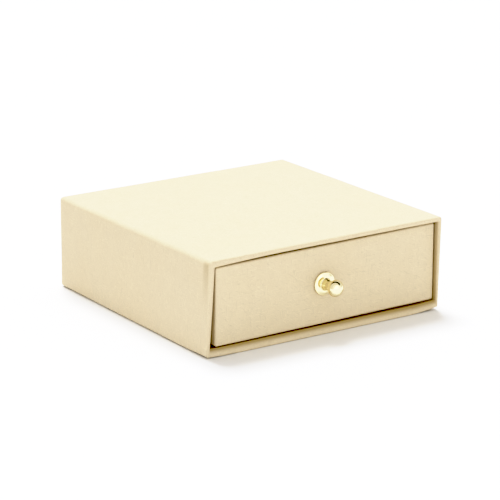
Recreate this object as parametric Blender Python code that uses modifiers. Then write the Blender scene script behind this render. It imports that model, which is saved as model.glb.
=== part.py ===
"""Sliding drawer gift box: a papered greyboard sleeve, open at the front, with one drawer and a small turned knob.

Metres, +Z up. The drawer's front faces -Y. The origin is the centre of the sleeve's underside.
Each wall is a greyboard with a cover paper outside and a paper inside, each on its own thin line of glue.
"""

import math

import bmesh
import bpy
from mathutils import Matrix, Vector

# Outer size of the sleeve
sleeve_width = 0.1000
sleeve_depth = 0.1000
sleeve_height = 0.0345

# Layers of a wall
board_thickness = 0.0010
paper_thickness = 0.0002
glue_gap = 0.00025

# Folds and flaps of the papers
fold_radius = 0.0008
fold_segments = 3
sleeve_turn_in = 0.0150
sleeve_underside_flap = 0.0120
sleeve_back_flap = 0.0100
back_paper_inset = 0.0015
base_proud = 0.0001
seam_gap = 0.0003
drawer_turn_in = 0.0100

# How the drawer sits in the sleeve
drawer_recess = 0.0016
drawer_side_clearance = 0.00125
drawer_top_clearance = 0.0007
drawer_rest_gap = 0.0006
drawer_rear_clearance = 0.0003

# Knob, a turned piece on the drawer's front
knob_flange_radius = 0.0043
knob_flange_edge = 0.0006
knob_flange_crown = 0.0004
knob_neck_foot_radius = 0.0023
knob_neck_foot_length = 0.0009
knob_neck_radius = 0.0018
knob_neck_length = 0.0044
knob_head_radius = 0.00305
knob_head_shoulder = 0.0014
knob_head_crown = 0.0024
knob_bore_end_wall = 0.0012
turning_steps = 40

# Screw, from the inside of the drawer's front into the knob
screw_radius = 0.0010
screw_hole_clearance = 0.00025
screw_end_clearance = 0.0010
screw_head_radius = 0.0023
screw_head_height = 0.0013
screw_head_edge_share = 0.45
screw_recess_width = 0.0006
screw_recess_length = 0.0026
screw_recess_depth = 0.0007

# How far a cutter runs past what it cuts
overrun = 0.0010

# What follows from the sizes above
skin = paper_thickness + glue_gap
wall = skin + board_thickness + skin
front_face = -sleeve_depth / 2
back_face = sleeve_depth / 2
wrap_back_face = back_face - skin
board_back_face = wrap_back_face - skin
inner_back_face = board_back_face - board_thickness - skin
drawer_front_face = front_face + drawer_recess
drawer_back_face = inner_back_face - drawer_rear_clearance
drawer_half_width = sleeve_width / 2 - wall - drawer_side_clearance
drawer_underside = wall + drawer_rest_gap
drawer_rim = sleeve_height - wall - drawer_top_clearance
drawer_floor_top = drawer_underside + skin + board_thickness
drawer_inner_half_width = drawer_half_width - wall
drawer_inner_front = drawer_front_face + wall
drawer_inner_back = drawer_back_face - wall
knob_height = (drawer_underside + drawer_rim) / 2
knob_seat = drawer_front_face - glue_gap
knob_flange_height = knob_flange_edge + knob_flange_crown
knob_neck_top = knob_flange_height + knob_neck_length
knob_widest = knob_neck_top + knob_head_shoulder
knob_tip = knob_widest + knob_head_crown
knob_bore_depth = knob_widest - knob_bore_end_wall
screw_seat = drawer_inner_front + glue_gap
screw_hole_radius = screw_radius + screw_hole_clearance
screw_length = screw_seat - knob_seat + knob_bore_depth - screw_end_clearance


# Scene and materials


def clear_scene():
    for item in list(bpy.data.objects):
        bpy.data.objects.remove(item, do_unlink=True)


def collection(name):
    group = bpy.data.collections.new(name)
    bpy.context.scene.collection.children.link(group)
    return group


def material(name, colour, roughness, metallic=0.0):
    made = bpy.data.materials.new(name)
    made.use_nodes = True
    shader = made.node_tree.nodes["Principled BSDF"]
    shader.inputs["Base Color"].default_value = (*colour, 1.0)
    shader.inputs["Roughness"].default_value = roughness
    shader.inputs["Metallic"].default_value = metallic
    return made


def move_to(item, group):
    for old in list(item.users_collection):
        old.objects.unlink(item)
    group.objects.link(item)


def finish(item, finish_material, carrier, group):
    """Gives a part its material, its carrier and its collection."""
    item.data.materials.clear()
    item.data.materials.append(finish_material)
    item.parent = carrier
    item.matrix_parent_inverse = carrier.matrix_world.inverted()
    move_to(item, group)
    return item


def carrier_empty(name, place, group):
    empty = bpy.data.objects.new(name, None)
    empty.location = place
    empty.empty_display_size = board_thickness * 10
    group.objects.link(empty)
    bpy.context.view_layer.update()
    return empty


# Shapes


def block(name, low, high):
    """A rectangular solid between two corners, with its scale applied."""
    bpy.ops.mesh.primitive_cube_add(size=1.0)
    item = bpy.context.object
    item.name = name
    size = Vector(high) - Vector(low)
    item.data.transform(Matrix.Diagonal((*size, 1.0)))
    item.location = (Vector(low) + Vector(high)) / 2
    bpy.context.view_layer.update()
    return item


def extrude_edges(sheet, edges, place):
    """Grows a sheet from its edges. Each new vertex goes where place() sends it. Returns the new outer edges."""
    grown = bmesh.ops.extrude_edge_only(sheet, edges=edges)["geom"]
    fresh = {part for part in grown if isinstance(part, bmesh.types.BMVert)}
    for vertex in fresh:
        vertex.co = place(vertex.co)
    return [part for part in grown if isinstance(part, bmesh.types.BMEdge) and set(part.verts) <= fresh]


def shifted(offset):
    return lambda point: point + Vector(offset)


def within(low, high):
    """Moves a point to the nearest place in a box, which mitres the corners of a flap."""
    return lambda point: Vector([min(max(value, least), most) for value, least, most in zip(point, low, high)])


def paper(name, sheet):
    """Turns an open folded sheet into a paper of even thickness with rounded folds."""
    bmesh.ops.recalc_face_normals(sheet, faces=sheet.faces)
    mesh = bpy.data.meshes.new(name)
    sheet.to_mesh(mesh)
    sheet.free()
    item = bpy.data.objects.new(name, mesh)
    bpy.context.scene.collection.objects.link(item)
    folds = item.modifiers.new("folds", "BEVEL")
    folds.limit_method = "ANGLE"
    folds.width = fold_radius
    folds.segments = fold_segments
    thickness = item.modifiers.new("thickness", "SOLIDIFY")
    thickness.thickness = paper_thickness
    thickness.offset = -1.0
    thickness.use_even_offset = True
    return item


def chain(sheet, points):
    """Vertices along a row of points, joined by edges."""
    row = [sheet.verts.new(point) for point in points]
    return [sheet.edges.new(pair) for pair in zip(row, row[1:])]


def ring_of_edges(sheet, low, high, level):
    """A closed rectangle of edges at one level."""
    corners = [(low[0], low[1]), (high[0], low[1]), (high[0], high[1]), (low[0], high[1])]
    row = [sheet.verts.new((x, y, level)) for x, y in corners]
    return [sheet.edges.new(pair) for pair in zip(row, row[1:] + row[:1])]


def turned(name, profile, steps):
    """A solid of revolution about its own Z axis. The profile is (radius, height), from the top down its outer side."""
    mesh = bpy.data.meshes.new(name)
    line = bmesh.new()
    chain(line, [(radius, 0.0, height) for radius, height in profile])
    line.to_mesh(mesh)
    line.free()
    item = bpy.data.objects.new(name, mesh)
    bpy.context.scene.collection.objects.link(item)
    turning = item.modifiers.new("turning", "SCREW")
    turning.axis = "Z"
    turning.steps = steps
    turning.render_steps = steps
    turning.use_merge_vertices = True
    turning.merge_threshold = 0.000001
    turning.use_smooth_shade = True
    return item


def arc(centre, radii, start, end, count):
    """Points on an elliptic arc, in degrees, from start to end."""
    angles = [math.radians(start + (end - start) * step / count) for step in range(count + 1)]
    return [(centre[0] + radii[0] * math.cos(a), centre[1] + radii[1] * math.sin(a)) for a in angles]


def facing_front(item, place):
    """Turns a turned piece so that its own +Z looks out of the drawer's front."""
    item.rotation_euler = (math.radians(90.0), 0.0, 0.0)
    item.location = place


def cut(item, cutter, group):
    cutter.display_type = "WIRE"
    cutter.hide_render = True
    move_to(cutter, group)
    hole = item.modifiers.new(cutter.name, "BOOLEAN")
    hole.operation = "DIFFERENCE"
    hole.object = cutter


def screw_hole_cutter(group):
    """One rod that clears the screw through the drawer's front wall."""
    start = drawer_front_face - overrun
    end = drawer_inner_front + overrun
    bpy.ops.mesh.primitive_cylinder_add(vertices=turning_steps, radius=screw_hole_radius, depth=end - start)
    rod = bpy.context.object
    rod.name = "screw_hole_cutter"
    facing_front(rod, (0.0, (start + end) / 2, knob_height))
    return rod


# Sleeve


def sleeve_boards():
    x_out = sleeve_width / 2 - skin
    x_in = x_out - board_thickness
    y_front = front_face + skin
    z_low, z_high = skin, sleeve_height - skin
    side_low, side_high = z_low + board_thickness + glue_gap, z_high - board_thickness - glue_gap
    return [
        block("sleeve_top_board", (-x_out, y_front, z_high - board_thickness), (x_out, board_back_face, z_high)),
        block("sleeve_bottom_board", (-x_out, y_front, z_low), (x_out, board_back_face, z_low + board_thickness)),
        block("sleeve_left_board", (-x_out, y_front, side_low), (-x_in, board_back_face, side_high)),
        block("sleeve_right_board", (x_in, y_front, side_low), (x_out, board_back_face, side_high)),
        block(
            "sleeve_back_board",
            (-x_in + glue_gap, board_back_face - board_thickness, side_low),
            (x_in - glue_gap, board_back_face, side_high),
        ),
    ]


def sleeve_wrap():
    """Top and sides in one sheet. It turns under the box, in round the mouth and onto the back."""
    half = sleeve_width / 2
    low = base_proud
    flap_end = half - sleeve_underside_flap
    sheet = bmesh.new()
    profile = [(-flap_end, low), (-half, low), (-half, sleeve_height), (half, sleeve_height), (half, low), (flap_end, low)]
    back = chain(sheet, [(x, wrap_back_face, z) for x, z in profile])
    front = extrude_edges(sheet, back, shifted((0.0, front_face - wrap_back_face, 0.0)))
    mouth = within((-half + wall, front_face, wall), (half - wall, back_face, sleeve_height - wall))
    rim = extrude_edges(sheet, front, mouth)
    extrude_edges(sheet, rim, shifted((0.0, sleeve_turn_in, 0.0)))
    flap = sleeve_back_flap
    back_window = within((-half + flap, front_face, low + flap), (half - flap, back_face, sleeve_height - flap))
    extrude_edges(sheet, back, back_window)
    return paper("sleeve_wrap_paper", sheet)


def sleeve_base():
    """The underside's sheet, between the wrap's two flaps."""
    half = sleeve_width / 2 - sleeve_underside_flap - seam_gap
    sheet = bmesh.new()
    back = chain(sheet, [(-half, wrap_back_face, 0.0), (half, wrap_back_face, 0.0)])
    front = extrude_edges(sheet, back, shifted((0.0, front_face - wrap_back_face, 0.0)))
    rim = extrude_edges(sheet, front, shifted((0.0, 0.0, wall)))
    extrude_edges(sheet, rim, shifted((0.0, sleeve_turn_in, 0.0)))
    extrude_edges(sheet, back, shifted((0.0, 0.0, wall)))
    return paper("sleeve_base_paper", sheet)


def sleeve_back_sheet():
    half = sleeve_width / 2 - back_paper_inset
    low, high = back_paper_inset, sleeve_height - back_paper_inset
    return block("sleeve_back_paper", (-half, back_face - paper_thickness, low), (half, back_face, high))


def sleeve_lining():
    """One strip round the four inner walls, from the turn-in to the back."""
    half = sleeve_width / 2 - wall
    sheet = bmesh.new()
    corners = [(-half, wall), (half, wall), (half, sleeve_height - wall), (-half, sleeve_height - wall)]
    start = front_face + sleeve_turn_in + seam_gap
    row = [sheet.verts.new((x, start, z)) for x, z in corners]
    front = [sheet.edges.new(pair) for pair in zip(row, row[1:] + row[:1])]
    extrude_edges(sheet, front, shifted((0.0, inner_back_face - seam_gap - start, 0.0)))
    lining = paper("sleeve_lining_paper", sheet)
    lining.modifiers["thickness"].offset = 1.0
    return lining


def sleeve_back_lining():
    half = sleeve_width / 2 - wall + paper_thickness
    low, high = wall - paper_thickness, sleeve_height - wall + paper_thickness
    return block("sleeve_back_lining", (-half, inner_back_face, low), (half, inner_back_face + paper_thickness, high))


# Drawer


def drawer_boards():
    x_out = drawer_half_width - skin
    x_in = x_out - board_thickness
    y_front, y_back = drawer_front_face + skin, drawer_back_face - skin
    z_floor = drawer_underside + skin
    z_low, z_high = drawer_floor_top + glue_gap, drawer_rim - skin
    side_front, side_back = y_front + board_thickness + glue_gap, y_back - board_thickness - glue_gap
    return [
        block("drawer_floor_board", (-x_out, y_front, z_floor), (x_out, y_back, drawer_floor_top)),
        block("drawer_front_board", (-x_out, y_front, z_low), (x_out, y_front + board_thickness, z_high)),
        block("drawer_back_board", (-x_out, y_back - board_thickness, z_low), (x_out, y_back, z_high)),
        block("drawer_left_board", (-x_out, side_front, z_low), (-x_in, side_back, z_high)),
        block("drawer_right_board", (x_in, side_front, z_low), (x_out, side_back, z_high)),
    ]


def drawer_wrap():
    """One sheet under the floor, up the four walls, over the rim and down inside."""
    half = drawer_half_width
    sheet = bmesh.new()
    foot = ring_of_edges(sheet, (-half, drawer_front_face), (half, drawer_back_face), drawer_underside)
    bmesh.ops.contextual_create(sheet, geom=foot)
    top = extrude_edges(sheet, foot, shifted((0.0, 0.0, drawer_rim - drawer_underside)))
    inside = within(
        (-drawer_inner_half_width, drawer_inner_front, drawer_underside),
        (drawer_inner_half_width, drawer_inner_back, drawer_rim),
    )
    rim = extrude_edges(sheet, top, inside)
    extrude_edges(sheet, rim, shifted((0.0, 0.0, -drawer_turn_in)))
    return paper("drawer_wrap_paper", sheet)


def drawer_wall_lining():
    """One strip round the inside, from the floor board to the turn-in."""
    half = drawer_inner_half_width
    sheet = bmesh.new()
    start = drawer_floor_top + glue_gap
    end = drawer_rim - drawer_turn_in - seam_gap
    foot = ring_of_edges(sheet, (-half, drawer_inner_front), (half, drawer_inner_back), start)
    extrude_edges(sheet, foot, shifted((0.0, 0.0, end - start)))
    lining = paper("drawer_wall_lining", sheet)
    lining.modifiers["thickness"].offset = 1.0
    return lining


def drawer_floor_lining():
    half = drawer_inner_half_width - fold_radius
    low = drawer_floor_top + glue_gap
    return block(
        "drawer_floor_lining",
        (-half, drawer_inner_front + fold_radius, low),
        (half, drawer_inner_back - fold_radius, low + paper_thickness),
    )


def knob():
    """Flange, waisted neck and domed head, with a blind hole for the screw."""
    edge = knob_flange_edge / 2
    foot_width = knob_neck_foot_radius - knob_neck_radius
    shoulder_width = knob_head_radius - knob_neck_radius
    profile = arc((0.0, knob_widest), (knob_head_radius, knob_head_crown), 90, 0, 9)
    profile += arc((knob_neck_radius, knob_widest), (shoulder_width, knob_head_shoulder), 0, -90, 6)[1:]
    foot_centre = (knob_neck_foot_radius, knob_flange_height + knob_neck_foot_length)
    profile += arc(foot_centre, (foot_width, knob_neck_foot_length), 180, 270, 4)
    profile += arc((knob_flange_radius - edge, edge), (edge, edge), 90, -90, 6)
    profile += [(screw_hole_radius, 0.0), (screw_hole_radius, knob_bore_depth), (0.0, knob_bore_depth)]
    piece = turned("knob", profile, turning_steps)
    facing_front(piece, (0.0, knob_seat, knob_height))
    return piece


def knob_screw(group):
    """A domed head inside the drawer and a plain shank that reaches into the knob."""
    edge = screw_head_height * screw_head_edge_share
    profile = [(0.0, screw_length), (screw_radius, screw_length), (screw_radius, 0.0), (screw_head_radius, 0.0)]
    profile += arc((0.0, -edge), (screw_head_radius, screw_head_height - edge), 0, -90, 6)
    piece = turned("knob_screw", profile, turning_steps)
    facing_front(piece, (0.0, screw_seat, knob_height))
    head_end = screw_seat + screw_head_height
    for name, across, up in (
        ("recess_cutter_level", screw_recess_length, screw_recess_width),
        ("recess_cutter_upright", screw_recess_width, screw_recess_length),
    ):
        low = (-across / 2, head_end - screw_recess_depth, knob_height - up / 2)
        high = (across / 2, head_end + overrun, knob_height + up / 2)
        cut(piece, block(name, low, high), group)
    return piece


# Assembly


def build():
    clear_scene()
    parts = collection("sliding_drawer_gift_box")
    cutters = collection("cutters")
    cover = material("cover_paper", (0.76, 0.64, 0.42), 0.85)
    lining = material("lining_paper", (0.72, 0.61, 0.41), 0.85)
    greyboard = material("greyboard", (0.33, 0.29, 0.24), 0.9)
    brass = material("polished_brass", (0.83, 0.69, 0.36), 0.12, 1.0)
    steel = material("plated_steel", (0.62, 0.60, 0.55), 0.3, 1.0)

    sleeve = carrier_empty("sleeve", (0.0, 0.0, 0.0), parts)
    slide = carrier_empty("drawer_slide", (0.0, drawer_front_face, knob_height), parts)

    for board in sleeve_boards():
        finish(board, greyboard, sleeve, parts)
    for sheet in (sleeve_wrap(), sleeve_base(), sleeve_back_sheet()):
        finish(sheet, cover, sleeve, parts)
    for sheet in (sleeve_lining(), sleeve_back_lining()):
        finish(sheet, lining, sleeve, parts)

    boards = drawer_boards()
    for board in boards:
        finish(board, greyboard, slide, parts)
    wrap = finish(drawer_wrap(), cover, slide, parts)
    wall_lining = finish(drawer_wall_lining(), lining, slide, parts)
    finish(drawer_floor_lining(), lining, slide, parts)
    finish(knob(), brass, slide, parts)
    finish(knob_screw(cutters), steel, slide, parts)

    hole = screw_hole_cutter(cutters)
    front_board = next(board for board in boards if board.name == "drawer_front_board")
    for item in (wrap, front_board, wall_lining):
        cut(item, hole, cutters)


build()
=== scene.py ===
"""Looks of the sliding drawer gift box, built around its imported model.

Metres, +Z up. The drawer's front faces -Y, and the origin is the centre of the sleeve's underside.
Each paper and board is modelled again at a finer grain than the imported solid, with the soft folds of pasted
paper and the slight lean that the sleeve has at its open mouth.
"""

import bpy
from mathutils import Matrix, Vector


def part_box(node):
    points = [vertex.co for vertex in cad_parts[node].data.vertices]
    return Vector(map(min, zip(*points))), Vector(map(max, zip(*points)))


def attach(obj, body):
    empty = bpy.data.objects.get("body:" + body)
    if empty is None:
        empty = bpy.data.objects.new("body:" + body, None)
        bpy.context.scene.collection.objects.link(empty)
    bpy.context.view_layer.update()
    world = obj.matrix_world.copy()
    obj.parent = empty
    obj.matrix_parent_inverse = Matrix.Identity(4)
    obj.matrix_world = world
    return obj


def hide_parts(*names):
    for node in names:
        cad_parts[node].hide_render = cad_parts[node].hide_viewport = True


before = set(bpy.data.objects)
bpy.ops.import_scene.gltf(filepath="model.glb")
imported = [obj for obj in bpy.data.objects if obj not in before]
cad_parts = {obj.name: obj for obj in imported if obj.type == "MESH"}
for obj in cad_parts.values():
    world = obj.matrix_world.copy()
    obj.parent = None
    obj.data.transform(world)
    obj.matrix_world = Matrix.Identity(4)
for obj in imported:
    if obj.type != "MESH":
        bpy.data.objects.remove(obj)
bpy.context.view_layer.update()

import math

import bmesh
import bpy
from mathutils import Matrix, Vector, noise

# Camera
lens_mm = 185.16
sensor_width_mm = 36.0
nearest_seen = 0.01
farthest_seen = 100.0
camera_azimuth = math.radians(-34.25)
camera_elevation = math.radians(16.82)
camera_roll = math.radians(0.27)
camera_distance = 0.9404
camera_aim = Vector((0.00137, 0.0, 0.01802))

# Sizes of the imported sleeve
wrap_low, wrap_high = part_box("sleeve_wrap_paper")
back_sheet_low, back_sheet_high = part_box("sleeve_back_paper")
_, lining_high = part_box("sleeve_lining_paper")
back_lining_low, back_lining_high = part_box("sleeve_back_lining")
half_width = wrap_high.x
front = wrap_low.y
wrap_back = wrap_high.y
height = wrap_high.z
flap_level = wrap_low.z
back_face = back_sheet_high.y
paper_thickness = back_sheet_high.y - back_sheet_low.y
wall = half_width - (lining_high.x - paper_thickness)
inner_back = back_lining_low.y

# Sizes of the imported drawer
drawer_low, drawer_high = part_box("drawer_wrap_paper")
wall_lining_low, wall_lining_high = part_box("drawer_wall_lining")
floor_lining_low, floor_lining_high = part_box("drawer_floor_lining")
drawer_wall = drawer_high.x - (wall_lining_high.x - paper_thickness)
drawer_height = drawer_high.z - drawer_low.z

# Folds and flaps of the papers
long_fold_radius = 0.0012
rim_fold_radius = 0.00065
rim_inner_fold_radius = 0.00115
inner_corner_radius = 0.00035
back_fold_radius = 0.0009
underside_flap = 0.0120
back_flap = 0.0100
mouth_turn_in = 0.0150
hairline = 0.00005
pressed_edge = 0.0015
pressed_stations = (0.35, 0.7)
drawer_fold_radius = 0.0007
drawer_corner_radius = 0.00045
drawer_left_foot_corner_radius = 0.0010
drawer_foot_radius = 0.0011
drawer_rim_inner_fold_radius = 0.0005
drawer_turn_in = 0.0100
drawer_floor_inset = 0.006
back_row_end = 0.006
board_bevel = 0.00008
board_piece_length = 0.006

# How the sleeve leans at its mouth: at each place across the box, the sideways move there, and how much more
# it leans for each metre of height
lean_places = (-half_width, -half_width + wall, half_width - wall, half_width)
lean_moves = (0.00010, 0.00060, 0.00105, 0.00025)
lean_slopes = (0.041, 0.070, 0.010, 0.030)
lift_left = 0.00020
lift_right = 0.00048
mouth_bow = 0.00003
floor_swell = 0.00130
floor_swell_height = 0.0080
floor_swell_length = 0.0140
floor_edge_drop_left = 0.00040
floor_edge_drop_right = 0.00080
corner_rise_left = 0.00040
corner_rise_right = 0.00125
corner_rise_left_length = 0.007
corner_rise_right_length = 0.010
corner_rise_height = 0.0036
corner_rise_depth = 0.016
top_sag = 0.00090
left_reach = 0.034

# How the drawer lies in the sleeve
drawer_turn = 0.012
drawer_stretch = 1.0100
drawer_side_shift = 0.00010
drawer_forward_shift = -0.00030
drawer_lean = -0.0060
drawer_lift_right = 0.00025
drawer_front_dip = 0.00007
drawer_foot_rise_left = 0.00088
drawer_foot_rise_right = 0.00072
drawer_left_foot_out = 0.00045
drawer_left_dip = 0.00028

# Light and tone
room_light = 0.848
room_colour = (1.0, 0.985, 0.965)
softbox_light = 0.26
softbox_direction = (-0.25, -0.90, 0.22)
softbox_edge = (0.74, 0.86)
gap_direction = (0.536, 0.795, -0.284)
gap_start = (-0.40, -0.32)
gap_end = (0.04, 0.10)
gap_foot = (0.05, 0.12)
gap_up = (-0.40, 0.0, 0.917)
screen_direction = (0.20, -0.97, -0.10)
screen_edge = (0.66, 0.80)
screen_light = 0.45
key_strength = 2.20
key_angle = math.radians(22.0)
key_direction = (0.09, 0.40, 0.92)
key_colour = (0.96, 1.0, 1.10)
floor_shade = 0.89
floor_roughness = 0.9
floor_specular = 0.2
floor_half_size = 15.0
black_point = 0.08
white_point = 1.30
combined_curve = 3
tone_points = ((0.331, 0.4565), (0.520, 0.717), (0.646, 0.858), (0.803, 0.936))

# Unevenness of pasted paper
ripple_depth = 0.00005
ripple_length = 0.016
ripple_seed = 1
drawer_ripple_offset = Vector((0.3, 0.2, 0.1))


# Camera, floor and light


def add_camera():
    data = bpy.data.cameras.new("camera")
    data.lens = lens_mm
    data.sensor_width = sensor_width_mm
    data.clip_start = nearest_seen
    data.clip_end = farthest_seen
    camera = bpy.data.objects.new("camera", data)
    bpy.context.scene.collection.objects.link(camera)
    level = math.cos(camera_elevation)
    across = math.sin(camera_azimuth) * level
    along = -math.cos(camera_azimuth) * level
    back = Vector((across, along, math.sin(camera_elevation)))
    right = Vector((0.0, 0.0, 1.0)).cross(back).normalized()
    up = back.cross(right)
    turn = Matrix((right, up, back)).transposed() @ Matrix.Rotation(camera_roll, 3, "Z")
    camera.matrix_world = Matrix.LocRotScale(camera_aim + back * camera_distance, turn, None)
    bpy.context.scene.camera = camera


def add_floor():
    sheet = bmesh.new()
    bmesh.ops.create_grid(sheet, x_segments=4, y_segments=4, size=floor_half_size)
    floor = link("floor", sheet)
    material, tree, shader = blank_material("floor")
    set_values(shader, {"Base Color": (floor_shade, floor_shade, floor_shade, 1.0)})
    set_values(shader, {"Roughness": floor_roughness, "Specular IOR Level": floor_specular})
    floor.data.materials.append(material)


def set_tone():
    """Plain colours, with deepened shadows and softened highlights, as in a product photo."""
    view = bpy.context.scene.view_settings
    view.view_transform = "Standard"
    view.use_curve_mapping = True
    view.curve_mapping.black_level = (black_point, black_point, black_point)
    view.curve_mapping.white_level = (white_point, white_point, white_point)
    for place, level in tone_points:
        view.curve_mapping.curves[combined_curve].points.new(place, level)
    view.curve_mapping.update()


def add_key_light():
    """A soft light from above and behind. Polished surfaces don't mirror it."""
    data = bpy.data.lights.new("key", "SUN")
    data.energy = key_strength
    data.angle = key_angle
    data.color = key_colour
    light = bpy.data.objects.new("key", data)
    light.rotation_euler = Vector(key_direction).to_track_quat("Z", "Y").to_euler()
    light.visible_glossy = False
    bpy.context.scene.collection.objects.link(light)


def add_world():
    """An even white room with a softbox in front. Gloss alone sees its bright front screen and dark gap."""
    world = bpy.data.worlds.new("studio")
    world.use_nodes = True
    tree = world.node_tree
    background = tree.nodes["Background"]
    direction = tree.nodes.new("ShaderNodeTexCoord").outputs["Generated"]
    in_gloss = tree.nodes.new("ShaderNodeLightPath").outputs["Is Glossy Ray"]
    toward_box = dot_node(tree, direction, softbox_direction)
    box_mask = ramp_node(tree, toward_box, softbox_edge, 0.0, 1.0)
    lit = value_node(tree, "ADD", value_node(tree, "MULTIPLY", box_mask, softbox_light), room_light)
    toward_screen = dot_node(tree, direction, screen_direction)
    screen = ramp_node(tree, toward_screen, screen_edge, 0.0, screen_light)
    lit = value_node(tree, "ADD", lit, value_node(tree, "MULTIPLY", screen, in_gloss))
    toward_gap = dot_node(tree, direction, gap_direction)
    gap_in = ramp_node(tree, toward_gap, gap_start, 0.0, 1.0)
    gap_out = ramp_node(tree, toward_gap, gap_end, 1.0, 0.0)
    above = ramp_node(tree, dot_node(tree, direction, gap_up), gap_foot, 0.0, 1.0)
    gap = value_node(tree, "MULTIPLY", value_node(tree, "MULTIPLY", gap_in, gap_out), above)
    open_share = value_node(tree, "SUBTRACT", 1.0, value_node(tree, "MULTIPLY", gap, in_gloss))
    tree.links.new(value_node(tree, "MULTIPLY", lit, open_share), background.inputs["Strength"])
    background.inputs["Color"].default_value = (*room_colour, 1.0)
    bpy.context.scene.world = world


# Nodes


def blank_material(name):
    material = bpy.data.materials.new(name)
    material.use_nodes = True
    return material, material.node_tree, material.node_tree.nodes["Principled BSDF"]


def set_values(node, values):
    for name, value in values.items():
        node.inputs[name].default_value = value


def feed(tree, socket, value):
    """Sets a socket, from another node's output or from a plain value."""
    if isinstance(value, bpy.types.NodeSocket):
        tree.links.new(value, socket)
    else:
        socket.default_value = value


def value_node(tree, operation, first, second):
    node = tree.nodes.new("ShaderNodeMath")
    node.operation = operation
    feed(tree, node.inputs[0], first)
    feed(tree, node.inputs[1], second)
    return node.outputs[0]


def dot_node(tree, vector, fixed):
    node = tree.nodes.new("ShaderNodeVectorMath")
    node.operation = "DOT_PRODUCT"
    feed(tree, node.inputs[0], vector)
    feed(tree, node.inputs[1], tuple(Vector(fixed).normalized()))
    return node.outputs["Value"]


def ramp_node(tree, value, span, low, high):
    """Goes from low to high, smoothly, while value crosses the span."""
    node = tree.nodes.new("ShaderNodeMapRange")
    node.interpolation_type = "SMOOTHSTEP"
    feed(tree, node.inputs["Value"], value)
    set_values(node, {"From Min": span[0], "From Max": span[1], "To Min": low, "To Max": high})
    return node.outputs["Result"]


def mapped(tree, size, turn=(0.0, 0.0, 0.0), shift=(0.0, 0.0, 0.0)):
    """The piece's own coordinates, turned and divided by a size along each axis."""
    place = tree.nodes.new("ShaderNodeTexCoord").outputs["Object"]
    turned_place = tree.nodes.new("ShaderNodeMapping")
    turned_place.vector_type = "POINT"
    feed(tree, turned_place.inputs["Vector"], place)
    turned_place.inputs["Rotation"].default_value = [math.radians(angle) for angle in turn]
    sized = tree.nodes.new("ShaderNodeMapping")
    sized.vector_type = "POINT"
    feed(tree, sized.inputs["Vector"], turned_place.outputs["Vector"])
    sized.inputs["Scale"].default_value = [1.0 / value for value in size]
    sized.inputs["Location"].default_value = shift
    return sized.outputs["Vector"]


def noise_node(tree, vector, detail, roughness):
    node = tree.nodes.new("ShaderNodeTexNoise")
    feed(tree, node.inputs["Vector"], vector)
    set_values(node, {"Scale": 1.0, "Detail": detail, "Roughness": roughness})
    return node.outputs["Fac"]


def mix_colour(tree, factor, first, second):
    """A mix of two colours. Inputs 6 and 7 and output 2 are the Mix node's colour sockets."""
    node = tree.nodes.new("ShaderNodeMix")
    node.data_type = "RGBA"
    feed(tree, node.inputs[0], factor)
    feed(tree, node.inputs[6], first)
    feed(tree, node.inputs[7], second)
    return node.outputs[2]


def add_bump(tree, shader, relief, strength, distance):
    bump = tree.nodes.new("ShaderNodeBump")
    set_values(bump, {"Strength": strength, "Distance": distance})
    feed(tree, bump.inputs["Height"], relief)
    feed(tree, shader.inputs["Normal"], bump.outputs["Normal"])


def tinted(colour, share):
    """A colour made paler or darker by one share."""
    return (*[min(1.0, channel * share) for channel in colour], 1.0)


def shaded(colour, tint):
    """A colour with a share of its own for each channel."""
    return (*[channel * share for channel, share in zip(colour, tint)], 1.0)


# Materials

# Papers. Each noise has its detail and its roughness, each bump its strength and its depth.
cover_colour = (0.735, 0.635, 0.452)
lining_colour = (0.735, 0.635, 0.456)
lining_pattern_shift = 5.0
mottle_size = 0.0040
mottle_noise = (3.0, 0.6)
mottle_span = (0.30, 0.70)
mottle_shades = (0.985, 1.012)
cloud_size = 0.0200
cloud_noise = (2.0, 0.5)
cloud_span = (0.35, 0.65)
cloud_share = 0.35
cloud_tint = (1.015, 0.995, 0.965)
tooth_size = 0.00022
tooth_noise = (3.0, 0.7)
tooth_span = (0.3, 0.7)
paper_roughness = (0.58, 0.72)
paper_specular = 0.5
paper_bump = (0.35, 0.00003)
tooth_relief = 0.5
pale_relief = 0.5
dark_relief = 0.2
pale_share = 0.75
pale_shade = 1.12
dark_share = 0.60
dark_shade = 0.84
dark_fibre_shift = 7.0
dark_fibre_level = 3.0
fibre_noise = (1.0, 0.5)
fibre_length = 0.0030
fibre_width = 0.00032
fibre_turns = ((0, 0, 0), (90, 0, 0), (0, 90, 0), (40, 0, 25), (0, 55, -30), (65, 30, 0))
fibre_span = (0.66, 0.72)
# Painted shade: the turned-in paper just inside the sleeve's mouth is painted darker and browner, standing in
# for the shade in that recess.
painted_shade_start = 0.00015
painted_shade_full = 0.0010
painted_shade_fade = 0.0024
painted_shade_end = 0.0045
painted_shade_depth = 0.9
painted_shade_tint = (0.56, 0.48, 0.30)

# Greyboard
greyboard_colour = (0.33, 0.29, 0.24)
felt_size = 0.0012
felt_noise = (4.0, 0.7)
felt_shades = (0.82, 1.18)
speck_size = 0.0003
speck_noise = (2.0, 0.5)
speck_span = (0.62, 0.70)
speck_share = 0.6
speck_shade = 1.6
greyboard_roughness = 0.92
greyboard_specular = 0.3
greyboard_bump = (0.5, 0.00005)

# Metals
brass_colour = (0.93, 0.84, 0.56)
brass_roughness = 0.09
brass_ring_pitch = 0.00012
steel_colour = (0.62, 0.60, 0.56)
steel_roughness = 0.28
steel_ring_pitch = 0.00009
smear_size = 0.0015
smear_noise = (3.0, 0.6)
smear_span = (0.3, 0.7)
smear_shades = (0.97, 1.02)
smear_roughness = (0.8, 1.3)
ring_bump = (0.05, 0.00001)


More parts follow.
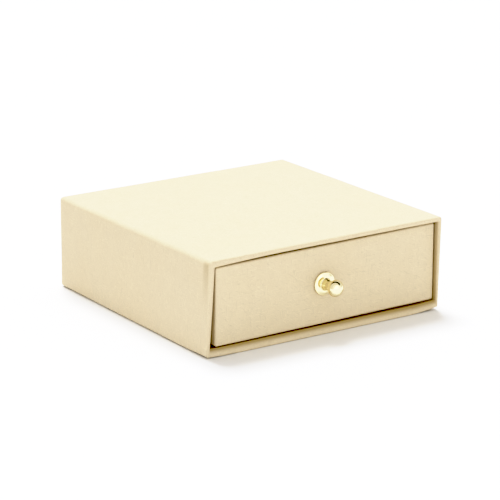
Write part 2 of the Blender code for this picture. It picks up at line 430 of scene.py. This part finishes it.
def fibres(tree, turns, shift):
    """How much of a fibre lies at a place: short thin flecks along several directions."""
    flecks = []
    for turn in turns:
        place = mapped(tree, (fibre_width, fibre_width, fibre_length), turn, shift)
        flecks.append(ramp_node(tree, noise_node(tree, place, *fibre_noise), fibre_span, 0.0, 1.0))
    total = flecks[0]
    for fleck in flecks[1:]:
        total = value_node(tree, "MAXIMUM", total, fleck)
    return total


def painted_mouth_shade_mask(tree):
    """Where shade is painted: 1 on the turned-in paper just inside the sleeve's mouth, 0 on the outer faces
    and deeper inside.
    """
    place = tree.nodes.new("ShaderNodeSeparateXYZ")
    feed(tree, place.inputs["Vector"], tree.nodes.new("ShaderNodeTexCoord").outputs["Object"])
    begins = ramp_node(tree, place.outputs["Y"], (front + painted_shade_start, front + painted_shade_full), 0.0, 1.0)
    ends = ramp_node(tree, place.outputs["Y"], (front + painted_shade_fade, front + painted_shade_end), 1.0, 0.0)
    across = value_node(tree, "ABSOLUTE", place.outputs["X"], 0.0)
    inner = ramp_node(tree, across, (half_width - wall * painted_shade_depth, half_width), 1.0, 0.0)
    above = ramp_node(tree, place.outputs["Z"], (0.0, wall * painted_shade_depth), 0.0, 1.0)
    below = ramp_node(tree, place.outputs["Z"], (height - wall * painted_shade_depth, height), 1.0, 0.0)
    along = value_node(tree, "MULTIPLY", begins, ends)
    upright = value_node(tree, "MULTIPLY", above, below)
    return value_node(tree, "MULTIPLY", value_node(tree, "MULTIPLY", along, inner), upright)


def paper_material(name, colour, shift=0.0, with_painted_shade=False):
    """Uncoated fibre paper: mottled, with pale and dark fibres, a fine tooth and, if asked, painted shade
    just inside the sleeve's mouth.
    """
    material, tree, shader = blank_material(name)
    offset = (shift, shift * 2.0, shift * 3.0)
    mottle = noise_node(tree, mapped(tree, (mottle_size,) * 3, shift=offset), *mottle_noise)
    cloud = noise_node(tree, mapped(tree, (cloud_size,) * 3, shift=offset), *cloud_noise)
    pale = fibres(tree, fibre_turns, offset)
    dark = fibres(tree, fibre_turns[::2], (shift + dark_fibre_shift, shift, dark_fibre_level))
    tooth = noise_node(tree, mapped(tree, (tooth_size,) * 3, shift=offset), *tooth_noise)
    low_shade, high_shade = [tinted(colour, shade) for shade in mottle_shades]
    tone = mix_colour(tree, ramp_node(tree, mottle, mottle_span, 0.0, 1.0), low_shade, high_shade)
    warm = ramp_node(tree, cloud, cloud_span, 0.0, cloud_share)
    tone = mix_colour(tree, warm, tone, shaded(colour, cloud_tint))
    tone = mix_colour(tree, value_node(tree, "MULTIPLY", pale, pale_share), tone, tinted(colour, pale_shade))
    tone = mix_colour(tree, value_node(tree, "MULTIPLY", dark, dark_share), tone, tinted(colour, dark_shade))
    if with_painted_shade:
        # Painted shade just inside the sleeve's mouth, darker and browner where the recess lies in shade.
        tone = mix_colour(tree, painted_mouth_shade_mask(tree), tone, shaded(colour, painted_shade_tint))
    feed(tree, shader.inputs["Base Color"], tone)
    pale_height = value_node(tree, "MULTIPLY", pale, pale_relief)
    relief = value_node(tree, "ADD", value_node(tree, "MULTIPLY", tooth, tooth_relief), pale_height)
    relief = value_node(tree, "SUBTRACT", relief, value_node(tree, "MULTIPLY", dark, dark_relief))
    add_bump(tree, shader, relief, *paper_bump)
    feed(tree, shader.inputs["Roughness"], ramp_node(tree, tooth, tooth_span, *paper_roughness))
    set_values(shader, {"Specular IOR Level": paper_specular})
    return material


def greyboard_material():
    """Recycled greyboard: a grey-brown felt of short fibres with paler and darker specks."""
    material, tree, shader = blank_material("greyboard")
    felt = noise_node(tree, mapped(tree, (felt_size,) * 3), *felt_noise)
    grain = noise_node(tree, mapped(tree, (speck_size,) * 3), *speck_noise)
    specks = value_node(tree, "MULTIPLY", ramp_node(tree, grain, speck_span, 0.0, 1.0), speck_share)
    low_shade, high_shade = [tinted(greyboard_colour, shade) for shade in felt_shades]
    tone = mix_colour(tree, felt, low_shade, high_shade)
    tone = mix_colour(tree, specks, tone, tinted(greyboard_colour, speck_shade))
    feed(tree, shader.inputs["Base Color"], tone)
    add_bump(tree, shader, felt, *greyboard_bump)
    set_values(shader, {"Roughness": greyboard_roughness, "Specular IOR Level": greyboard_specular})
    return material


def metal_material(name, colour, roughness, ring_axis, ring_pitch):
    """Polished metal with the finest turning rings about an axis along Y and a few faint smears."""
    material, tree, shader = blank_material(name)
    smear = noise_node(tree, mapped(tree, (smear_size,) * 3), *smear_noise)
    low_shade, high_shade = [tinted(colour, shade) for shade in smear_shades]
    feed(tree, shader.inputs["Base Color"], mix_colour(tree, smear, low_shade, high_shade))
    smoothest, roughest = [roughness * share for share in smear_roughness]
    feed(tree, shader.inputs["Roughness"], ramp_node(tree, smear, smear_span, smoothest, roughest))
    place = mapped(tree, (1.0, 1.0, 1.0), shift=[-value for value in ring_axis])
    across = tree.nodes.new("ShaderNodeVectorMath")
    across.operation = "MULTIPLY"
    feed(tree, across.inputs[0], place)
    feed(tree, across.inputs[1], (1.0, 0.0, 1.0))
    length = tree.nodes.new("ShaderNodeVectorMath")
    length.operation = "LENGTH"
    feed(tree, length.inputs[0], across.outputs["Vector"])
    turns = value_node(tree, "MULTIPLY", length.outputs["Value"], math.tau / ring_pitch)
    add_bump(tree, shader, value_node(tree, "SINE", turns, 0.0), *ring_bump)
    set_values(shader, {"Metallic": 1.0})
    return material


# Shapes


def arc(centre, radius, start, end, steps):
    """Points on a circle from start to end, in degrees, both ends included."""
    turns = [math.radians(start + (end - start) * step / steps) for step in range(steps + 1)]
    return [(centre[0] + radius * math.cos(turn), centre[1] + radius * math.sin(turn)) for turn in turns]


def run(start, end, steps):
    """Points on a straight line from start to end, both ends included. Steps is how many pieces it has."""
    return [tuple(a + (b - a) * step / steps for a, b in zip(start, end)) for step in range(steps + 1)]


def stations(start, end, steps):
    """Evenly spaced values from start to end, both ends included."""
    return [value for _, value in run((0.0, start), (0.0, end), steps)]


def joined(*stretches):
    """One line out of stretches that each start where the last one ends."""
    points = list(stretches[0])
    for stretch in stretches[1:]:
        points += stretch[1:]
    return points


def between(places, values, place):
    """The value at a place, on straight lines between the given ones."""
    if place <= places[0]:
        return values[0]
    for low, high, before, after in zip(places, places[1:], values, values[1:]):
        if place <= high:
            return before + (after - before) * (place - low) / (high - low)
    return values[-1]


def forwardness(y):
    """0 at the sleeve's back and 1 at its mouth."""
    return min(max((wrap_back - y) / (wrap_back - front), 0.0), 1.0)


def lift(point):
    """How far a point rises, because the sleeve is a little taller at the right of its mouth."""
    share = (point.x + half_width) / (2.0 * half_width)
    return forwardness(point.y) * (point.z / height) * (lift_left + (lift_right - lift_left) * share)


def ripple(point):
    """The slight unevenness of pasted paper. It fades out toward the surface that the box rests on."""
    return noise.noise_vector(point / ripple_length) * ripple_depth * min(1.0, max(point.z, 0.0) / wall)


def in_sleeve(point):
    """Moves a point of the square sleeve to where the leaning sleeve has it."""
    point = Vector(point)
    ahead = forwardness(point.y)
    lean = between(lean_places, lean_slopes, point.x) * (point.z - height / 2.0) * ahead
    middle = 1.0 - (point.x / half_width) ** 2
    bow = mouth_bow * middle * ahead * point.z / height
    inner_share = min(max((height - point.z) / wall, 0.0), 1.0) if point.z > height / 2.0 else 0.0
    sag = top_sag * left_share(point.x) * inner_share * ahead
    sideways = between(lean_places, lean_moves, point.x) + lean
    upward = lift(point) + bow + swell(point) - sag
    return corner_pressed(point) + Vector((sideways, 0.0, upward)) + ripple(point)


def corner_pressed(point):
    """Presses the sleeve's two lower corners at the mouth up a little."""
    right = point.x > 0.0
    reach = corner_rise_right_length if right else corner_rise_left_length
    rise = corner_rise_right if right else corner_rise_left
    near_mouth = max(0.0, 1.0 - (point.y - front) / corner_rise_depth)
    near_side = max(0.0, 1.0 - (half_width - abs(point.x)) / reach)
    level = max(0.0, 1.0 - point.z / corner_rise_height)
    return point + Vector((0.0, 0.0, rise * near_mouth * level * near_side))


def swell(point):
    """How far the floor's upper side stands higher behind the mouth, and lower at the mouth's edge."""
    if point.z < wall:
        level = point.z / wall
    else:
        level = max(0.0, 1.0 - (point.z - wall) / floor_swell_height)
    inside = min(max((point.y - front) / rim_inner_fold_radius, 0.0), 1.0)
    fade = max(0.0, 1.0 - (point.y - front) / floor_swell_length)
    share = (point.x + half_width) / (2.0 * half_width)
    edge_drop = floor_edge_drop_left + (floor_edge_drop_right - floor_edge_drop_left) * share
    return level * fade * (floor_swell * inside - edge_drop * (1.0 - inside))


def left_share(x):
    """1 at the left side, falling smoothly to 0 over the left reach."""
    share = max(0.0, 1.0 - (x + half_width) / left_reach)
    return share * share


def in_drawer(point):
    """Moves a point of the centred drawer to where it lies in the sleeve, its front turned to the right."""
    point = Vector(point)
    ahead = forwardness(point.y)
    near_left = left_share(point.x)
    middle = 1.0 - (point.x / half_width) ** 2
    right_share = (point.x + half_width) / (2.0 * half_width)
    low_share = (drawer_high.z - point.z) / drawer_height
    sideways = drawer_side_shift + drawer_lean * (point.z - height / 2.0) * ahead
    sideways += point.x * (drawer_stretch - 1.0) * ahead + drawer_turn * (drawer_high.y - point.y)
    sideways -= drawer_left_foot_out * near_left * low_share * ahead
    forward = drawer_forward_shift + drawer_turn * point.x
    dip = (drawer_front_dip * middle + drawer_left_dip * near_left) * ahead * point.z / height
    rise = drawer_lift_right * right_share * ahead
    foot_rise = drawer_foot_rise_left + (drawer_foot_rise_right - drawer_foot_rise_left) * right_share
    rise += foot_rise * low_share
    move = Vector((sideways, forward, lift(point) + rise - dip))
    return point + move + ripple(point + drawer_ripple_offset)


def link(name, sheet):
    mesh = bpy.data.meshes.new(name)
    sheet.to_mesh(mesh)
    sheet.free()
    item = bpy.data.objects.new(name, mesh)
    bpy.context.scene.collection.objects.link(item)
    return item


def skin(rows, closed=False, cap_first=False):
    """A sheet of quads between rows of points. Rows are loops where closed is set."""
    sheet = bmesh.new()
    grid = [[sheet.verts.new(point) for point in row] for row in rows]
    for before, after in zip(grid, grid[1:]):
        last = len(before) if closed else len(before) - 1
        for column in range(last):
            following = (column + 1) % len(before)
            sheet.faces.new((before[column], after[column], after[following], before[following]))
    if cap_first:
        sheet.faces.new(grid[0])
    return sheet


def settle(item, sharp_degrees=35.0):
    """Bakes an item's modifiers into its mesh and shades it smooth, apart from its sharp edges."""
    evaluated = item.evaluated_get(bpy.context.evaluated_depsgraph_get())
    mesh = bpy.data.meshes.new_from_object(evaluated)
    mesh.name = item.name
    item.modifiers.clear()
    item.data = mesh
    mesh.shade_smooth()
    mesh.set_sharp_from_angle(angle=math.radians(sharp_degrees))
    return item


def paper(name, sheet, outward=-1.0):
    """Gives a sheet the thickness of the paper, behind it, or in front of it where outward is 1."""
    item = link(name, sheet)
    thickness = item.modifiers.new("thickness", "SOLIDIFY")
    thickness.thickness = paper_thickness
    thickness.offset = outward
    thickness.use_even_offset = True
    return item


def dress(item, material, body, slot, *nodes):
    """Settles a piece, gives it its material, hangs it on its body and hides the imported parts that it
    replaces.
    """
    settle(item)
    item.data.materials.clear()
    item.data.materials.append(material)
    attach(item, body)
    if nodes:
        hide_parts(*nodes)
    return item


# Sleeve


def sleeve_path(flap):
    """From the back flap over the outside to the mouth and in, as (depth below the outer face, y)."""
    rear = back_fold_radius
    rim = rim_fold_radius
    inner = rim_inner_fold_radius
    return joined(
        run((flap, wrap_back), (rear, wrap_back), 6),
        arc((rear, wrap_back - rear), rear, 90, 180, 6),
        run((0.0, wrap_back - rear), (0.0, front + back_row_end), 24),
        run((0.0, front + back_row_end), (0.0, front + rim), 5),
        arc((rim, front + rim), rim, 180, 270, 7),
        run((rim, front), (wall - inner, front), 2),
        arc((wall - inner, front + inner), inner, 270, 360, 6),
        run((wall, front + inner), (wall, front + mouth_turn_in), 8),
    )


def wrap_line(depth):
    """The wrap's line across the sleeve at a depth below its outer face, as (x, z), from flap to flap."""
    half = half_width - depth
    top = height - depth
    low = flap_level + depth * (1.0 - flap_level / wall)
    radius = max(long_fold_radius - depth, inner_corner_radius)
    flap_end = half_width - underside_flap
    return joined(
        run((-flap_end, low), (-half + radius, low), 4),
        arc((-half + radius, low + radius), radius, 270, 180, 7),
        run((-half, low + radius), (-half, top - radius), 10),
        arc((-half + radius, top - radius), radius, 180, 90, 7),
        run((-half + radius, top), (half - radius, top), 28),
        arc((half - radius, top - radius), radius, 90, 0, 7),
        run((half, top - radius), (half, low + radius), 10),
        arc((half - radius, low + radius), radius, 0, -90, 7),
        run((half - radius, low), (flap_end, low), 4),
    )


def sleeve_wrap():
    rows = [[in_sleeve((x, y, z)) for x, z in wrap_line(depth)] for depth, y in sleeve_path(back_flap)]
    return paper("sleeve_wrap_sheet", skin(rows))


def sleeve_base():
    half = half_width - underside_flap - hairline
    places = stations(half, -half, 24)
    rows = [[in_sleeve((x, y, depth)) for x in places] for depth, y in sleeve_path(wall)]
    return paper("sleeve_base_sheet", skin(rows))


def rounded_loop(low, high, radius, steps, corner_steps, first_radius=None):
    """A closed rectangle with round corners, clockwise from its lower left one, which can be rounder."""
    first = first_radius or radius
    points = joined(
        [(low[0] + first, low[1])],
        arc((low[0] + first, low[1] + first), first, 270, 180, corner_steps),
        run((low[0], low[1] + first), (low[0], high[1] - radius), steps[1]),
        arc((low[0] + radius, high[1] - radius), radius, 180, 90, corner_steps),
        run((low[0] + radius, high[1]), (high[0] - radius, high[1]), steps[0]),
        arc((high[0] - radius, high[1] - radius), radius, 90, 0, corner_steps),
        run((high[0], high[1] - radius), (high[0], low[1] + radius), steps[1]),
        arc((high[0] - radius, low[1] + radius), radius, 0, -90, corner_steps),
        run((high[0] - radius, low[1]), (low[0] + first, low[1]), steps[0]),
    )
    return points[:-1]


def sleeve_lining():
    """The strip round the inner walls, from the turn-in to the back."""
    low = (-half_width + wall, wall)
    high = (half_width - wall, height - wall)
    line = rounded_loop(low, high, inner_corner_radius, (28, 10), 4)
    places = stations(front + mouth_turn_in + hairline, inner_back - hairline, 20)
    rows = [[in_sleeve((x, y, z)) for x, z in line] for y in places]
    return paper("sleeve_lining_sheet", skin(rows, closed=True))


def sleeve_back_lining():
    low, high = back_lining_low, back_lining_high
    places = stations(high.x, low.x, 24)
    rows = [[in_sleeve((x, low.y, z)) for x in places] for z in stations(low.z, high.z, 8)]
    return paper("sleeve_back_lining_sheet", skin(rows))


def sleeve_back_paper():
    """The sheet pasted over the flaps on the back, with its edges pressed down."""
    low, high = back_sheet_low, back_sheet_high
    press_depth = back_face - wrap_back - paper_thickness - hairline
    near, far = pressed_edge * pressed_stations[0], pressed_edge * pressed_stations[1]

    def edge_stations(start, end, steps):
        inner = stations(start + pressed_edge, end - pressed_edge, steps)
        return [start, start + near, start + far, *inner, end - far, end - near, end]

    def point(x, z):
        gap = min(x - low.x, high.x - x, z - low.z, high.z - z)
        share = min(gap / pressed_edge, 1.0)
        press = (1.0 - share * share * (3.0 - 2.0 * share)) * press_depth
        return in_sleeve((x, back_face - press, z))

    rows = [[point(x, z) for x in edge_stations(low.x, high.x, 24)] for z in edge_stations(low.z, high.z, 8)]
    return paper("sleeve_back_sheet", skin(rows))


def block(centre, size):
    sheet = bmesh.new()
    bmesh.ops.create_cube(sheet, size=1.0)
    bmesh.ops.transform(sheet, matrix=Matrix.LocRotScale(centre, None, size), verts=sheet.verts)
    return sheet


def board(node, place):
    """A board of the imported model, cut fine enough to follow the lean, with its cut edges broken."""
    low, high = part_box(node)
    size = high - low
    sheet = block((low + high) / 2.0, size)
    bmesh.ops.bevel(sheet, geom=sheet.edges[:], offset=board_bevel, segments=2, affect="EDGES", profile=0.5)
    for axis in range(3):
        count = max(1, round(size[axis] / board_piece_length))
        normal = Vector([1.0 if other == axis else 0.0 for other in range(3)])
        for step in range(1, count):
            middle = low.copy()
            middle[axis] += size[axis] * step / count
            geometry = sheet.verts[:] + sheet.edges[:] + sheet.faces[:]
            bmesh.ops.bisect_plane(sheet, geom=geometry, plane_co=middle, plane_no=normal)
    for vertex in sheet.verts:
        vertex.co = place(vertex.co)
    return link(node.replace("_board", "_greyboard"), sheet)


# Drawer


def drawer_loop(depth, z, radius):
    """A loop round the drawer, depth below its outer walls. Its front left corner grows rounder downward."""
    low = (drawer_low.x + depth, drawer_low.y + depth)
    high = (drawer_high.x - depth, drawer_high.y - depth)
    grown = (drawer_left_foot_corner_radius - drawer_corner_radius) * (drawer_high.z - z) / drawer_height
    first = max(radius, drawer_corner_radius + grown - depth)
    return [in_drawer((x, y, z)) for x, y in rounded_loop(low, high, radius, (24, 24), 6, first)]


def drawer_wrap():
    fold = drawer_fold_radius
    foot = drawer_foot_radius
    inner = drawer_rim_inner_fold_radius
    rim = drawer_high.z
    path = joined(
        run((drawer_floor_inset, drawer_low.z), (foot, drawer_low.z), 3),
        arc((foot, drawer_low.z + foot), foot, 270, 180, 8),
        run((0.0, drawer_low.z + foot), (0.0, rim - fold), 10),
        arc((fold, rim - fold), fold, 180, 90, 6),
        run((fold, rim), (drawer_wall - inner, rim), 2),
        arc((drawer_wall - inner, rim - inner), inner, 90, 0, 6),
        run((drawer_wall, rim - inner), (drawer_wall, rim - drawer_turn_in), 4),
    )
    rows = []
    for depth, z in path:
        rows.append(drawer_loop(depth, z, max(drawer_corner_radius - depth, inner_corner_radius)))
    return paper("drawer_wrap_sheet", skin(rows, closed=True, cap_first=True))


def drawer_wall_lining():
    levels = stations(wall_lining_low.z, drawer_high.z - drawer_turn_in - hairline, 8)
    rows = [drawer_loop(drawer_wall, z, inner_corner_radius) for z in levels]
    return paper("drawer_wall_lining_sheet", skin(rows, closed=True), outward=1.0)


def drawer_floor_lining():
    low, high = floor_lining_low, floor_lining_high
    places = stations(low.x, high.x, 24)
    rows = [[in_drawer((x, y, high.z)) for x in places] for y in stations(high.y, low.y, 24)]
    return paper("drawer_floor_lining_sheet", skin(rows))


# Knob and screw

knob_low, knob_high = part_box("knob")
screw_low, screw_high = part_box("knob_screw")
knob_axis = Vector(((knob_low.x + knob_high.x) / 2.0, 0.0, (knob_low.z + knob_high.z) / 2.0))
knob_seat = knob_high.y
knob_length = knob_high.y - knob_low.y
flange_radius = (knob_high.x - knob_low.x) / 2.0
flange_edge = 0.0006
flange_crown = 0.0004
neck_foot_radius = 0.0024
neck_foot_length = 0.0010
neck_radius = 0.0019
neck_top_radius = 0.0018
head_radius = 0.00305
head_shoulder = 0.0014
head_crown = 0.0024
crown_stations = (0.15, 0.3, 0.45, 0.6, 0.75, 0.9)
bore_radius = 0.00125
bore_depth = 0.0056
screw_radius = 0.0010
screw_head_height = 0.0013
screw_edge_share = 0.45
recess_length = 0.0026
recess_width = 0.0006
recess_depth = 0.0007
hole_reach = 0.004
turning_steps = 96
smallest_radius = 1e-7
knob_shift = Vector((-0.0005, drawer_forward_shift, 0.00125))


def ellipse(centre, radii, start, end, steps):
    turns = [math.radians(start + (end - start) * step / steps) for step in range(steps + 1)]
    return [(centre[0] + radii[0] * math.cos(turn), centre[1] + radii[1] * math.sin(turn)) for turn in turns]


def lathe(name, profile, seat, direction):
    """Turns a profile of (radius, height) about the knob's axis. Heights count from the seat, along Y."""
    sheet = bmesh.new()
    angles = [math.tau * step / turning_steps for step in range(turning_steps)]
    spokes = [Vector((math.cos(angle), 0.0, math.sin(angle))) for angle in angles]
    rings = []
    for radius, level in profile:
        centre = Vector((knob_axis.x, seat + direction * level, knob_axis.z)) + knob_shift
        if radius < smallest_radius:
            rings.append([sheet.verts.new(centre)])
        else:
            rings.append([sheet.verts.new(centre + spoke * radius) for spoke in spokes])
    for before, after in zip(rings, rings[1:]):
        for step in range(turning_steps):
            corners = [
                before[step % len(before)],
                before[(step + 1) % len(before)],
                after[(step + 1) % len(after)],
                after[step % len(after)],
            ]
            sheet.faces.new(list(dict.fromkeys(corners)))
    bmesh.ops.recalc_face_normals(sheet, faces=sheet.faces)
    return link(name, sheet)


def knob():
    widest = knob_length - head_crown
    neck_top = widest - head_shoulder
    flange_top = flange_edge + flange_crown
    edge = flange_edge / 2.0
    foot = neck_foot_radius - neck_radius
    head = ellipse((0.0, widest), (head_radius, head_crown), 90, 0, 24)
    shoulder = (head_radius - neck_top_radius, head_shoulder)
    head += ellipse((neck_top_radius, widest), shoulder, 0, -90, 12)[1:]
    neck = run((neck_top_radius, neck_top), (neck_radius, flange_top + neck_foot_length), 8)[1:]
    foot_centre = (neck_foot_radius, flange_top + neck_foot_length)
    neck += ellipse(foot_centre, (foot, neck_foot_length), 180, 270, 8)[1:]
    crown_run = flange_radius - edge - neck_foot_radius
    crown = [
        (neck_foot_radius + crown_run * share, flange_edge + flange_crown * math.cos(share * math.pi / 2.0))
        for share in crown_stations
    ]
    rim = ellipse((flange_radius - edge, edge), (edge, edge), 90, -90, 12)
    bore = [(bore_radius, 0.0), (bore_radius, bore_depth), (0.0, bore_depth)]
    return lathe("knob_turned", head + neck + crown + rim + bore, knob_seat, -1.0)


def cut_away(item, cutter):
    cut = item.modifiers.new("cut", "BOOLEAN")
    cut.operation = "DIFFERENCE"
    cut.object = cutter


def knob_screw():
    head_end = screw_high.y
    seat = head_end - screw_head_height
    radius = (screw_high.x - screw_low.x) / 2.0
    edge = screw_head_height * screw_edge_share
    tip = screw_low.y - seat
    profile = [(0.0, tip), (screw_radius, tip), (screw_radius, 0.0), (radius, 0.0)]
    profile += ellipse((0.0, edge), (radius, screw_head_height - edge), 0, 90, 14)
    item = lathe("knob_screw_turned", profile, seat, 1.0)
    centre = Vector((knob_axis.x, head_end, knob_axis.z)) + knob_shift
    cutters = []
    for across, up in ((recess_length, recess_width), (recess_width, recess_length)):
        cutter = link("recess_cutter", block(centre, Vector((across, recess_depth * 2.0, up))))
        cut_away(item, cutter)
        cutters.append(cutter)
    settle(item)
    for cutter in cutters:
        bpy.data.objects.remove(cutter, do_unlink=True)
    return item


def bored(*items):
    """Cuts the screw's hole through each item."""
    reach = hole_reach
    profile = [(0.0, -reach), (bore_radius, -reach), (bore_radius, reach), (0.0, reach)]
    rod = lathe("hole_cutter", profile, drawer_low.y + drawer_wall / 2.0, 1.0)
    for item in items:
        cut_away(item, rod)
        settle(item)
    bpy.data.objects.remove(rod, do_unlink=True)
    return items


# Assembly


def assemble():
    cover = paper_material("cover_paper", cover_colour)
    # The sleeve's cover paper, with painted shade just inside its mouth.
    sleeve_cover_painted_shade = paper_material("sleeve_cover_paper", cover_colour, with_painted_shade=True)
    lining = paper_material("lining_paper", lining_colour, lining_pattern_shift)
    greyboard = greyboard_material()
    ring_axis = (knob_axis.x, 0.0, knob_axis.z)
    brass = metal_material("polished_brass", brass_colour, brass_roughness, ring_axis, brass_ring_pitch)
    steel = metal_material("plated_steel", steel_colour, steel_roughness, ring_axis, steel_ring_pitch)

    dress(sleeve_wrap(), sleeve_cover_painted_shade, "sleeve", "cover_paper", "sleeve_wrap_paper")
    dress(sleeve_base(), sleeve_cover_painted_shade, "sleeve", "cover_paper", "sleeve_base_paper")
    dress(sleeve_back_paper(), cover, "sleeve", "cover_paper", "sleeve_back_paper")
    dress(sleeve_lining(), lining, "sleeve", "lining_paper", "sleeve_lining_paper")
    dress(sleeve_back_lining(), lining, "sleeve", "lining_paper", "sleeve_back_lining")
    for side in ("top", "bottom", "left", "right", "back"):
        node = f"sleeve_{side}_board"
        dress(board(node, in_sleeve), greyboard, "sleeve", "greyboard", node)

    papers = (drawer_wrap(), drawer_wall_lining())
    wrap, wall_lining, front_board = bored(*papers, board("drawer_front_board", in_drawer))
    dress(wrap, cover, "drawer", "cover_paper", "drawer_wrap_paper")
    dress(wall_lining, lining, "drawer", "lining_paper", "drawer_wall_lining")
    dress(front_board, greyboard, "drawer", "greyboard", "drawer_front_board")
    dress(drawer_floor_lining(), lining, "drawer", "lining_paper", "drawer_floor_lining")
    for side in ("floor", "back", "left", "right"):
        node = f"drawer_{side}_board"
        dress(board(node, in_drawer), greyboard, "drawer", "greyboard", node)
    dress(knob(), brass, "drawer", "brass", "knob")
    dress(knob_screw(), steel, "drawer", "screw_steel", "knob_screw")


add_camera()
add_floor()
add_world()
add_key_light()
set_tone()
noise.seed_set(ripple_seed)
assemble()
